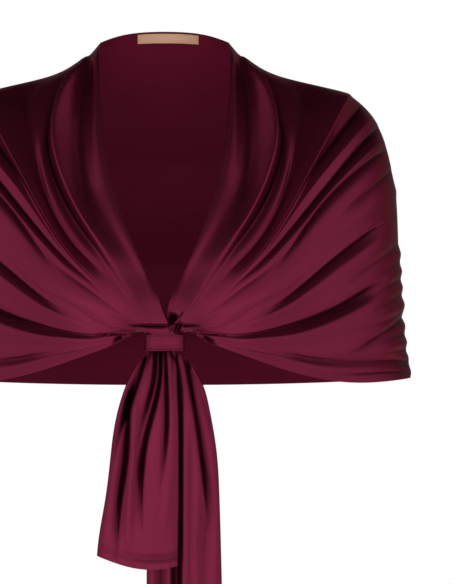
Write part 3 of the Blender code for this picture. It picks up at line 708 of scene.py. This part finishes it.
def tailSurface(which):
    rows = tails[which]
    names = tails["columns"]
    heights = column(rows, names, "z")
    way = (heights - heights[0]) / (heights[-1] - heights[0])
    dip = tails["hemDip"] / mm if which == "short" else 0
    stations = pleats["stations"]
    fade = pleats["fade"]

    def surface(down, turn):
        down, turn = np.broadcast_arrays(down, turn)
        weights = splineWeights(way, down)
        level = {name: weights @ column(rows, names, name) for name in names}
        z = level["z"]
        angle = np.radians(180 + (180 - tails["slit"]) * turn)
        power = 2 / level["square"]
        sideways = -signedPower(np.sin(angle), power)
        depth = signedPower(np.cos(angle), power)
        x = (level["left"] + level["right"]) / 2 + (level["right"] - level["left"]) / 2 * sideways
        place = (sideways + 1) / 2
        onFront = ease(depth, *tails["face"])
        stationWeights = splineWeights(-np.array(stations), -np.clip(z, stations[-1], stations[0]))
        relief = np.zeros(down.shape)
        dark = np.zeros(down.shape)
        for row in pleats[which]:
            pleat = dict(zip(pleats["columns"], row))
            shown = ease(z, pleat["start"] + fade / 2, pleat["start"] - fade)
            shown = shown * (1 - ease(z, pleat["end"] + fade * 2, pleat["end"]))
            rise, shade = foldShape(pleats, pleat, x - stationWeights @ np.array(row[:len(stations)]))
            relief = relief + rise * shown
            dark = dark + shade * shown
        relief = relief + tailNoise(x, z, tails["wrinkle"]) * ease(down, *tails["wrinkleRise"])
        fromFoot = (1 - down) * (heights[0] - heights[-1])
        strong = tails["hemLineFaint"] + (1 - tails["hemLineFaint"]) * ease(place, *tails["hemLineRise"])
        # each hem line is a shallow groove with painted shade along it
        for above, rise, shade in tails["hemLines"]:
            line = np.exp(-((fromFoot - above) / tails["hemLineWidth"])**2) * strong
            relief = relief + rise * line
            dark = dark + shade * line
        relief = relief + tailNoise(x, z, tails["pucker"]) * ease(fromFoot, *tails["puckerFade"])
        behind = np.cos(place * 2 * math.pi * tails["backPleats"]) * tails["backPleatHeight"] / mm
        behind = behind * ease(down, *tails["backPleatRise"]) * ease(depth, *tails["backPleatFace"])
        y = level["front"] + level["thick"] / 2 * (1 + depth) - relief * onFront + behind
        sink = dip * np.sin(place * tails["hemDipTurn"]) * ease(down, tails["hemDipStart"], 1)
        points = np.stack((x, y, z - sink * ease(depth, *tails["hemDipFace"])), -1) * mm
        # painted shade on the short tail's right side
        wall = ease(depth, *tails["wallDepth"]) * ease(sideways, *tails["wallSide"])
        return points, np.clip(dark * onFront + wall * (which == "short"), 0, 1)

    return surface


# Angles from the middle of the front to reach on both sides, evenly spaced along a squared oval.
def evenAngles(count, halfWidth, halfDepth, squareness, reach):
    fineCount = 2001
    fine = np.linspace(0, 1, fineCount)**(squareness / 2)
    angles = np.unique(np.concatenate((np.arcsin(fine), np.arccos(fine))))
    angles = np.concatenate((angles, math.pi - angles[::-1][1:]))
    x = halfWidth * signedPower(np.sin(angles), 2 / squareness)
    y = halfDepth * signedPower(np.cos(angles), 2 / squareness)
    way = np.concatenate(((0,), np.cumsum(np.hypot(np.diff(x), np.diff(y)))))
    half = np.interp(np.linspace(0, np.interp(reach, angles, way), count + 1), way, angles)
    return np.concatenate((-half[::-1], half[1:]))


def tailPiece(name, which, materials):
    cells = tails["aroundCells"]
    down = np.linspace(0, 1, tails["downCells"] + 1)[:, None]**tails["downPower"]
    reach = math.radians(180 - tails["slit"])
    turn = evenAngles(cells // 2, *tails["spacedOn"], reach)[None] / reach
    points, dark = tailSurface(which)(down, turn)
    around = np.linalg.norm(np.diff(points[-1], axis=0), axis=-1).sum()
    uv = clothPlaces(points, np.linspace(-1, 1, cells + 1)[None] * around / 2)
    rolled = ease(down, tails["rolledFrom"], 1) * (cloth["hemThickness"] - cloth["thickness"])
    thickness = np.broadcast_to(cloth["thickness"] + rolled, points.shape[:2])
    return sheetMesh(name, materials, points, gridNormals(points), thickness, uv, dark)


def bandPiece(materials):
    oval = (band["halfWidth"], band["halfDepth"], band["faceSquareness"])
    around = np.degrees(evenAngles(band["halfCells"], *oval, math.pi))[None, :-1]
    level = np.linspace(-1, 1, band["levels"])[:, None]
    x, y = ringPoint(around, 0, band["faceSquareness"])
    x, y, level = np.broadcast_arrays(x, y, level)
    points = np.stack((x, y, band["z"] + level * band["height"] / 2), -1)
    away = unit(np.stack((x, y - band["y"], np.zeros_like(x)), -1))
    turn = around / band["noiseStep"]
    tuck = band["tuck"] * (1 - level**2) + band["wrinkle"] * latticeNoise(level * 3, turn, 8)
    points = points - away * tuck[..., None]
    points[..., 2] += band["wave"] * latticeNoise(turn, level * 0.5, 9)
    wrapped = np.concatenate((points[:, -1:], points, points[:, :1]), 1)
    normals = gridNormals(wrapped)[:, 1:-1]
    if (normals * away).sum() < 0:
        normals = -normals
        points, normals = points[::-1], normals[::-1]
    radian = 57  # degrees
    sewn = around * band["halfWidth"] / radian
    uv = np.stack(np.broadcast_arrays(level * band["height"] / 2, sewn), -1)
    # painted shade over the whole band, darker along the turned edges
    place, width, dark = band["edgeShadeLine"]
    shade = band["shade"] + dark * np.exp(-((np.abs(level) - place) / width)**2)
    thickness = np.full(points.shape[:2], band["thickness"])
    return sheetMesh("keeperBand", materials, points, normals, thickness, uv, shade, ring=True)


label = {
    "width": 60 * mm,
    "height": 9.5 * mm,
    "centreX": 3.5 * mm,
    "fromEdge": 1.5 * mm,
    "standOff": 0.9 * mm,
    "thickness": 0.7 * mm,
    "places": (61, 13),  # along and down
}


# A strip laid on the inner face of the back, a little below the neck edge.
def labelPiece(materials):
    step = 0.01
    fall = bodySurface(np.zeros(1), np.array([step])) - bodySurface(np.zeros(1), np.zeros(1))
    clothWidth = np.linalg.norm(fall) / step
    along, below = label["places"]
    down = label["fromEdge"] + np.linspace(0, 1, below) * label["height"]
    x = label["centreX"] + np.linspace(-0.5, 0.5, along) * label["width"]
    x, across = np.meshgrid(x, down / clothWidth, indexing="ij")
    halfWidth = lineValues(across)["sideX"] * mm
    turn = np.arcsin((np.abs(x) / halfWidth)**(figure["backSquareness"] / 2)) * 2 / math.pi
    normal = outward(bodySurface, turn, across)
    inward = cloth["thickness"] + label["standOff"] + label["thickness"]
    mirror = np.stack((np.where(x < 0, -1, 1), np.ones_like(x), np.ones_like(x)), -1)
    face = ((bodySurface(turn, across) - normal * inward) * mirror)[::-1]
    uv = np.stack((x[::-1], np.broadcast_to(down, x.shape)), -1)
    thickness = np.full(x.shape, label["thickness"])
    return sheetMesh("neckLabel", materials, face, gridNormals(face), thickness, uv, np.zeros(x.shape))


weave = {
    "streakScale": (26, 420, 1),  # noise cells per metre along and across the cloth
    "streakNoise": {"Scale": 1, "Detail": 3, "Roughness": 0.6},
    "streakStrength": 0.6,
    "patchNoise": {"Scale": 18, "Detail": 2},
    "threadWave": {"Scale": 0.05, "Distortion": 0.4},
    "threadStrength": 0.25,
    "noiseRange": (0.3, 0.7),
}

# Faces of the cloth: threads are per metre, depths in metres; the colours and the roughness go from
# their first value to their second one with the mask that is named beside them; the satin is darkened
# further by painted shade in its creases.
satin = {
    "threads": 5200,
    "threadDepth": 0.00006,
    "streakDepth": 0.00013,
    "colours": ((0.172, 0.0150, 0.042, 1.0), (0.205, 0.0200, 0.052, 1.0)),
    "colourMask": "Patch",
    # near-black that the painted shade darkens the satin's colour toward
    "paintedShadeColour": (0.010, 0.0008, 0.004, 1.0),
    "roughness": (0.255, 0.305),
    "roughnessMask": "Streak",
    "shader": {"Metallic": 0.72, "Specular IOR Level": 0.2, "Specular Tint": (0.30, 0.06, 0.12, 1.0)},
}
satinInside = {
    "threads": 5200,
    "threadDepth": 0.00006,
    "streakDepth": 0.00005,
    "colours": ((0.132, 0.0072, 0.0264, 1.0), (0.165, 0.0090, 0.033, 1.0)),
    "colourMask": "Patch",
    "roughness": (0.70, 0.80),
    "roughnessMask": "Streak",
    "shader": {"Specular IOR Level": 0.05},
}
labelTape = {
    "threads": 2600,
    "threadDepth": 0.0001,
    "streakDepth": 0.0001,
    "colours": ((0.88, 0.48, 0.29, 1.0), (1.0, 0.64, 0.42, 1.0)),
    "colourMask": "Streak",
    "roughness": (0.45, 0.6),
    "roughnessMask": "Patch",
    "shader": {"Metallic": 0.35},
}


def setInputs(node, values):
    for name, value in values.items():
        node.inputs[name].default_value = value


def addNode(tree, kind, values={}):
    node = tree.nodes.new(kind)
    setInputs(node, values)
    return node


# Each row names a node, its output, the next node and the input that takes it.
def linkNodes(tree, rows):
    for giver, output, taker, socket in rows:
        tree.links.new(giver.outputs[output], taker.inputs[socket])


def addSockets(group, direction, kind, names):
    for name in names:
        group.interface.new_socket(name=name, in_out=direction, socket_type="NodeSocket" + kind)


# Weave and fine streaks of a woven cloth: a mask of streaks, a mask of patches and a normal.
def clothGroup():
    tree = bpy.data.node_groups.new("wovenCloth", "ShaderNodeTree")
    addSockets(tree, "INPUT", "Float", ("Threads", "Depth", "Streak Depth"))
    addSockets(tree, "OUTPUT", "Float", ("Streak", "Patch"))
    addSockets(tree, "OUTPUT", "Vector", ("Normal",))
    inputs = addNode(tree, "NodeGroupInput")
    outputs = addNode(tree, "NodeGroupOutput")
    uvMap = addNode(tree, "ShaderNodeUVMap")
    uvMap.uv_map = "cloth"
    stretch = addNode(tree, "ShaderNodeMapping", {"Scale": weave["streakScale"]})
    streak = addNode(tree, "ShaderNodeTexNoise", weave["streakNoise"])
    patch = addNode(tree, "ShaderNodeTexNoise", weave["patchNoise"])
    scaled = addNode(tree, "ShaderNodeVectorMath")
    scaled.operation = "SCALE"
    threads = addNode(tree, "ShaderNodeTexWave", weave["threadWave"])
    threads.wave_type = "BANDS"
    threads.bands_direction = "DIAGONAL"
    bumpStreak = addNode(tree, "ShaderNodeBump", {"Strength": weave["streakStrength"]})
    bumpThreads = addNode(tree, "ShaderNodeBump", {"Strength": weave["threadStrength"]})
    linkNodes(tree, (
        (uvMap, "UV", stretch, "Vector"), (stretch, "Vector", streak, "Vector"),
        (uvMap, "UV", patch, "Vector"), (uvMap, "UV", scaled, 0), (inputs, "Threads", scaled, "Scale"),
        (scaled, "Vector", threads, "Vector"), (threads, "Fac", bumpThreads, "Height"),
        (inputs, "Depth", bumpThreads, "Distance"), (streak, "Fac", bumpStreak, "Height"),
        (inputs, "Streak Depth", bumpStreak, "Distance"), (bumpStreak, "Normal", bumpThreads, "Normal"),
        (streak, "Fac", outputs, "Streak"), (patch, "Fac", outputs, "Patch"),
        (bumpThreads, "Normal", outputs, "Normal"),
    ))
    return tree


def mixColours(tree, factor, first, second):
    mix = tree.nodes.new("ShaderNodeMix")
    mix.data_type = "RGBA"
    setInputs(mix, {"A": first, "B": second})
    tree.links.new(factor, mix.inputs["Factor"])
    return mix.outputs["Result"]


def mapRange(tree, value, given, wanted, kind="LINEAR"):
    reach = tree.nodes.new("ShaderNodeMapRange")
    reach.interpolation_type = kind
    setInputs(reach, {"From Min": given[0], "From Max": given[1], "To Min": wanted[0], "To Max": wanted[1]})
    tree.links.new(value, reach.inputs["Value"])
    return reach.outputs["Result"]


def addMaterial(name, values):
    made = bpy.data.materials.new(name)
    made.use_nodes = True
    shader = made.node_tree.nodes["Principled BSDF"]
    setInputs(shader, values)
    return made, made.node_tree, shader


def clothMaterial(name, face):
    made, tree, shader = addMaterial(name, face["shader"])
    woven = tree.nodes.new("ShaderNodeGroup")
    woven.node_tree = wovenCloth
    setInputs(woven, {"Threads": face["threads"], "Depth": face["threadDepth"],
                      "Streak Depth": face["streakDepth"]})
    colour = mixColours(tree, woven.outputs[face["colourMask"]], *face["colours"])
    # painted shade: the points' shade attribute mixes the base colour toward near-black
    if "paintedShadeColour" in face:
        paintedShade = tree.nodes.new("ShaderNodeAttribute")
        paintedShade.attribute_name = "paintedShade"
        shaded = mixColours(tree, paintedShade.outputs["Fac"], face["colours"][1], face["paintedShadeColour"])
        tree.links.new(colour, shaded.node.inputs["A"])
        colour = shaded
    tree.links.new(colour, shader.inputs["Base Color"])
    rough = mapRange(tree, woven.outputs[face["roughnessMask"]], weave["noiseRange"], face["roughness"])
    tree.links.new(rough, shader.inputs["Roughness"])
    tree.links.new(woven.outputs["Normal"], shader.inputs["Normal"])
    return made


wovenCloth = clothGroup()
satinFaces = (clothMaterial("burgundySatin", satin), clothMaterial("satinInside", satinInside))
body = bodyPieces(satinFaces)
print("body cloth made")
shortTail = tailPiece("tailShort", "short", satinFaces)
longTail = tailPiece("tailLong", "long", satinFaces)
keeper = bandPiece(satinFaces)
neckLabel = labelPiece((clothMaterial("labelTape", labelTape),))
print("tails, band and label made")

stitches = {
    "spacing": 2.6 * mm,
    "length": 1.7 * mm,
    "width": 0.32 * mm,
    "fromHem": 7.0 * mm,
    "fromNeck": 5.0 * mm,
    "fromFoot": 8.2 * mm,
    "proud": 0.05 * mm,
    "bodyEnd": (1.84, 700),  # girth where the body's lines end, and how many places they have
    "footEnd": (0.98, 500),  # turn where a tail's line ends, and its places
    "labelSpacing": 1.6 * mm,
    "labelInset": 1,  # places in from the label's edge
    "rod": {"Segments": 6, "Rings": 4, "Radius": 0.5},
    "noiseScale": 900,
    "pale": 1.25,
    "roughness": 0.5,
    "colour": (0.150, 0.0110, 0.036, 1.0),
    "labelColour": (0.55, 0.36, 0.20, 1.0),
}


# Thread laid along a line: short rounded rods at even steps, each turned along the line.
def stitchGroup():
    tree = bpy.data.node_groups.new("threadLine", "GeometryNodeTree")
    addSockets(tree, "INPUT", "Geometry", ("Geometry",))
    addSockets(tree, "INPUT", "Float", ("Spacing", "Length", "Width"))
    addSockets(tree, "INPUT", "Material", ("Material",))
    addSockets(tree, "OUTPUT", "Geometry", ("Geometry",))
    given = addNode(tree, "NodeGroupInput")
    done = addNode(tree, "NodeGroupOutput")
    line = addNode(tree, "GeometryNodeMeshToCurve")
    steps = addNode(tree, "GeometryNodeResampleCurve")
    steps.mode = "LENGTH"
    tangent = addNode(tree, "GeometryNodeInputTangent")
    turn = addNode(tree, "FunctionNodeAlignRotationToVector")
    rod = addNode(tree, "GeometryNodeMeshUVSphere", stitches["rod"])
    size = addNode(tree, "ShaderNodeCombineXYZ")
    place = addNode(tree, "GeometryNodeInstanceOnPoints")
    real = addNode(tree, "GeometryNodeRealizeInstances")
    finish = addNode(tree, "GeometryNodeSetMaterial")
    linkNodes(tree, (
        (given, "Geometry", line, "Mesh"), (line, "Curve", steps, "Curve"),
        (given, "Spacing", steps, "Length"), (tangent, "Tangent", turn, "Vector"),
        (given, "Width", size, "X"), (given, "Width", size, "Y"), (given, "Length", size, "Z"),
        (steps, "Curve", place, "Points"), (rod, "Mesh", place, "Instance"),
        (turn, "Rotation", place, "Rotation"), (size, "Vector", place, "Scale"),
        (place, "Instances", real, "Geometry"), (real, "Geometry", finish, "Geometry"),
        (given, "Material", finish, "Material"), (finish, "Geometry", done, "Geometry"),
    ))
    return tree


def threadMaterial(name, colour):
    made, tree, shader = addMaterial(name, {"Roughness": stitches["roughness"]})
    noise = addNode(tree, "ShaderNodeTexNoise", {"Scale": stitches["noiseScale"]})
    place = addNode(tree, "ShaderNodeTexCoord")
    tree.links.new(place.outputs["Object"], noise.inputs["Vector"])
    pale = [min(1, channel * stitches["pale"]) for channel in colour[:3]] + [1.0]
    tree.links.new(mixColours(tree, noise.outputs["Fac"], colour, pale), shader.inputs["Base Color"])
    return made


def stitchPiece(name, lines, material, spacing=stitches["spacing"]):
    starts = np.cumsum([0] + [len(line) for line in lines])
    edges = [(i, i + 1) for a, b in zip(starts, starts[1:]) for i in range(a, b - 1)]
    mesh = bpy.data.meshes.new(name + "Line")
    mesh.from_pydata(np.concatenate(lines).tolist(), edges, [])
    line = addObject(name + "Line", mesh)
    modifier = line.modifiers.new("threadLine", "NODES")
    modifier.node_group = threads
    values = {"Spacing": spacing, "Length": stitches["length"], "Width": stitches["width"],
              "Material": material}
    for item in threads.interface.items_tree:
        if item.in_out == "INPUT" and item.name in values:
            modifier[item.identifier] = values[item.name]
    graph = bpy.context.evaluated_depsgraph_get()
    made = bpy.data.meshes.new_from_object(line.evaluated_get(graph))
    made.name = name
    line.modifiers.clear()
    bpy.data.objects.remove(line)
    return addObject(name, made)


def raised(surface, first, second):
    return surface(first, second) + outward(surface, first, second) * stitches["proud"]


# Where the hems are sewn: along the body's two long edges, and round the foot of each tail.
def bodyHemLines():
    lines = []
    end, count = stitches["bodyEnd"]
    girth = np.linspace(0, end, count)
    for across in (1 - stitches["fromHem"] / cloth["width"], stitches["fromNeck"] / cloth["width"]):
        place = np.full_like(girth, across)
        face = raised(bodySurface, girth, place)
        left = knotForm(face * (-1, 1, 1), place, "left")[0]
        right = knotForm(face, place, "right")[0]
        lines.append(np.concatenate((left[:0:-1], right)))
    return lines


def tailHemLine(which):
    rows = tails[which]
    reach = (rows[0][0] - rows[-1][0]) * mm
    end, count = stitches["footEnd"]
    turn = np.linspace(-end, end, count)
    down = np.full_like(turn, 1 - stitches["fromFoot"] / reach)
    surface = tailSurface(which)
    return [raised(lambda first, second: surface(first, second)[0], down, turn)]


def labelLine():
    along, below = label["places"]
    points = np.array([corner.co for corner in neckLabel.data.vertices])
    face = points[:along * below].reshape(along, below, 3)
    inset = stitches["labelInset"]
    return [np.concatenate((face[inset:-inset, inset], face[-inset - 1, inset:-inset],
                            face[-inset - 1:inset:-1, -inset - 1], face[inset, -inset - 1:inset - 1:-1]))]


threads = stitchGroup()
satinThread = threadMaterial("satinThread", stitches["colour"])
labelThread = threadMaterial("labelThread", stitches["labelColour"])
seams = {
    "body": stitchPiece("bodyStitches", bodyHemLines(), satinThread),
    "short": stitchPiece("shortTailStitches", tailHemLine("short"), satinThread),
    "long": stitchPiece("longTailStitches", tailHemLine("long"), satinThread),
    "label": stitchPiece("labelStitches", labelLine(), labelThread, stitches["labelSpacing"]),
}
for name, piece in seams.items():
    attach(piece, "root")
print("stitches made")

nodeOf = {
    "back": body["back"], "front_right": body["frontRight"], "front_left": body["frontLeft"],
    "tail_short": shortTail, "tail_long": longTail, "keeper_band": keeper, "neck_label": neckLabel,
}
for node, piece in nodeOf.items():
    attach(piece, "root")
    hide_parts(node)
pixel = 0.95 * mm  # one pixel of the photo at the shoulder line
white = (1, 1, 1, 1)
studio = {
    "distance": 3.2,
    "height": -0.2157,
    "frameHeight": 584 * pixel,
    "aside": (226 - 164.6) * pixel,
    "sensor": 36,
    "farEnd": 100,
    "glowUpTo": (0.46, 0.72),  # sines of the heights over the horizon between which the glow ends
    "glow": (0.82, 0.008),  # strength below and above
    "behindFrom": (-0.3, 0.5),  # from the front to the back of the room
    "behind": (1.0, 0.35),  # share of the glow that is left
    "panelPlace": (0, -3.4, -0.45),
    "panelAim": (0, 0, -0.25),
    "panelSize": (3.6, 1.2),
    "panelPower": 7,
    "floorReach": 6.0,
    "floorZ": -1.4,
    "floorShader": {"Base Color": (0.85, 0.85, 0.85, 1), "Roughness": 0.8,
                    "Emission Color": white, "Emission Strength": 0.5},
}


def addCamera():
    data = bpy.data.cameras.new("camera")
    camera = addObject("camera", data)
    camera.location = (0, -studio["distance"], studio["height"])
    camera.rotation_euler = (math.pi / 2, 0, 0)
    data.sensor_width = studio["sensor"]
    data.lens = studio["sensor"] * studio["distance"] / studio["frameHeight"]
    data.shift_x = studio["aside"] / studio["frameHeight"]
    data.clip_end = studio["farEnd"]
    bpy.context.scene.camera = camera


# A low wide panel of light in front.
def addPanel():
    data = bpy.data.lights.new("frontPanel", "AREA")
    data.shape = "RECTANGLE"
    data.size, data.size_y = studio["panelSize"]
    data.energy = studio["panelPower"]
    light = addObject("frontPanel", data)
    light.location = studio["panelPlace"]
    aim = Vector(studio["panelAim"]) - Vector(studio["panelPlace"])
    light.rotation_euler = aim.to_track_quat("-Z", "Y").to_euler()


# A white room to the camera; its light comes from a low wide glow all round, brighter in front.
def addRoom():
    world = bpy.data.worlds.new("studio")
    bpy.context.scene.world = world
    world.use_nodes = True
    tree = world.node_tree
    lit = tree.nodes["Background"]
    setInputs(lit, {"Color": white})
    shown = addNode(tree, "ShaderNodeBackground", {"Color": white})
    coordinates = addNode(tree, "ShaderNodeTexCoord")
    parts = addNode(tree, "ShaderNodeSeparateXYZ")
    path = addNode(tree, "ShaderNodeLightPath")
    mix = addNode(tree, "ShaderNodeMixShader")
    share = addNode(tree, "ShaderNodeMath")
    share.operation = "MULTIPLY"
    glow = mapRange(tree, parts.outputs["Z"], studio["glowUpTo"], studio["glow"], "SMOOTHSTEP")
    front = mapRange(tree, parts.outputs["Y"], studio["behindFrom"], studio["behind"], "SMOOTHSTEP")
    tree.links.new(glow, share.inputs[0])
    tree.links.new(front, share.inputs[1])
    linkNodes(tree, (
        (coordinates, "Generated", parts, "Vector"), (share, "Value", lit, "Strength"),
        (path, "Is Camera Ray", mix, "Fac"), (lit, "Background", mix, 1),
        (shown, "Background", mix, 2), (mix, "Shader", tree.nodes["World Output"], "Surface"),
    ))


def addFloor():
    mesh = bpy.data.meshes.new("floor")
    reach, z = studio["floorReach"], studio["floorZ"]
    corners = [(-reach, -reach, z), (reach, -reach, z), (reach, reach, z), (-reach, reach, z)]
    mesh.from_pydata(corners, [], [(0, 1, 2, 3)])
    mesh.materials.append(addMaterial("paleFloor", studio["floorShader"])[0])
    addObject("floor", mesh)


addCamera()
addPanel()
addRoom()
addFloor()
bpy.context.scene.view_settings.view_transform = "Standard"
print("camera, lights and floor set")
